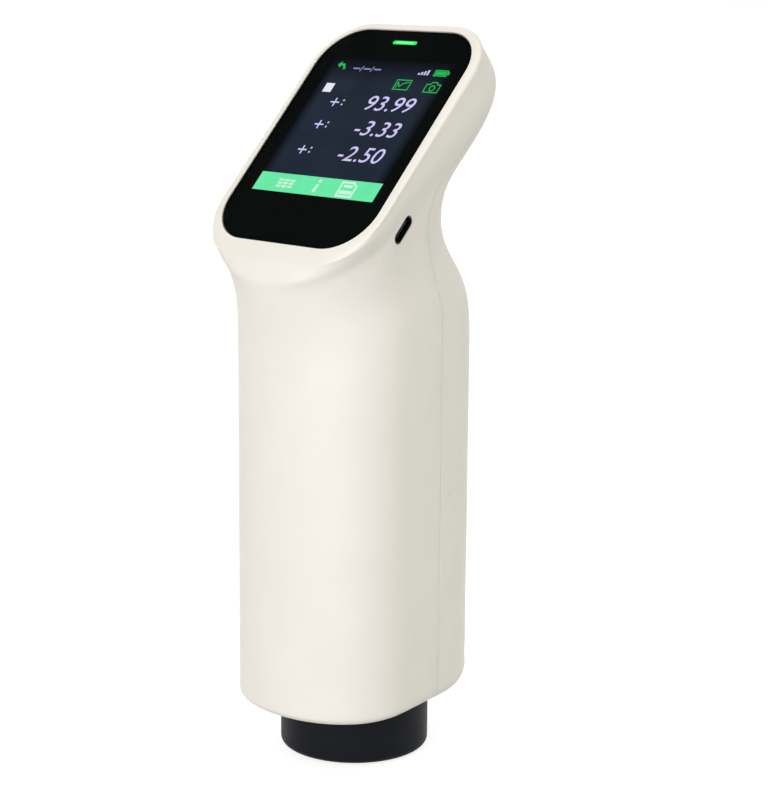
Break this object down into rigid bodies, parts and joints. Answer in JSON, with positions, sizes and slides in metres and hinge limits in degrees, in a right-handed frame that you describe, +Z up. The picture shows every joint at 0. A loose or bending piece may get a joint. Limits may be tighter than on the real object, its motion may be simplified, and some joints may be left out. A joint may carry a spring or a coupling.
{
  "type": "portable spectrophotometer",
  "caption": "Upright hand-held colour spectrophotometer: egg-shaped grip, tilted glass display head, black twist-off aperture ring below, side charging socket and measuring optics inside.",
  "frame": {"origin": "centre of the contact plane of the measuring aperture, at the lowest face of the black ring", "axes": "+Z up the measuring axis, the display faces -Y and up, +X is the user's right, the charging-socket side"},
  "size_m": [0.0654, 0.0799, 0.2167],
  "materials": {
    "ivory_plastic": "satin moulded",
    "black_plastic": "matt",
    "cover_glass": "smooth, black printed border",
    "display": "smooth",
    "clear_plastic": "clear",
    "board_green": "solder mask",
    "steel": "satin",
    "aluminium": "machined",
    "anodised": "black anodised",
    "sphere_white": "white diffuse coating",
    "rubber": "matt",
    "foam": "foam",
    "optical_glass": "polished",
    "grating": "ruled",
    "component_black": "moulded",
    "ribbon": "film",
    "battery_wrap": "shrink film",
    "emitter": "moulded"
  },
  "bodies": {
    "instrument": {"front_shell": "ivory_plastic", "rear_shell": "ivory_plastic", "cover_glass": "cover_glass", "glass_tape": "foam", "display_panel": "display", "display_frame": "steel", "light_pipe": "clear_plastic", "status_led": "emitter", "main_board": "board_green", "board_screws": "steel", "usb_socket": "steel", "shield_can": "steel", "radio_module": "component_black", "buzzer": "component_black", "ribbon_connectors": "component_black", "sensor_ribbon": "ribbon", "port_barrel": "black_plastic", "port_nose": "sphere_white", "light_seal": "foam", "sphere_lower": "sphere_white", "sphere_upper": "sphere_white", "sphere_baffle": "sphere_white", "sphere_screws": "steel", "barrel_screws": "steel", "lens_tube": "anodised", "measuring_lens": "optical_glass", "gloss_trap": "anodised", "shutter_motor": "steel", "view_camera": "component_black", "source_hood": "black_plastic", "led_board": "board_green", "led_emitters": "emitter", "sphere_posts": "steel", "optics_deck": "aluminium", "deck_screws": "steel", "spectrometer_case": "anodised", "spectrometer_lid": "anodised", "fold_prism": "optical_glass", "slit_plate": "steel", "concave_grating": "grating", "line_sensor": "component_black", "sensor_board": "board_green", "battery_pack": "battery_wrap", "battery_tray": "black_plastic", "button_switch": "component_black", "button_board": "board_green", "button_screws": "steel", "case_screws": "steel", "screw_plugs": "rubber"},
    "ring": {"aperture_ring": "black_plastic"},
    "button": {"measure_button": "ivory_plastic"},
    "shutter": {"trap_shutter": "sphere_white"}
  },
  "joints": [
    {"name": "ring_twist", "type": "hinge", "parent": "instrument", "child": "ring", "pos_m": [0, 0, 0], "axis": [0, 0, 1], "range_deg": [0, 30]},
    {"name": "measure_button_press", "type": "slide", "parent": "instrument", "child": "button", "axis": [0, -1, 0], "range_m": [0, 0.0008], "stiffness_N_per_m": 2500},
    {"name": "trap_shutter_swing", "type": "hinge", "parent": "instrument", "child": "shutter", "pos_m": [0.012, -0.00661, 0.04707], "axis": [0, -0.1392, 0.9903], "range_deg": [0, 55]}
  ]
}
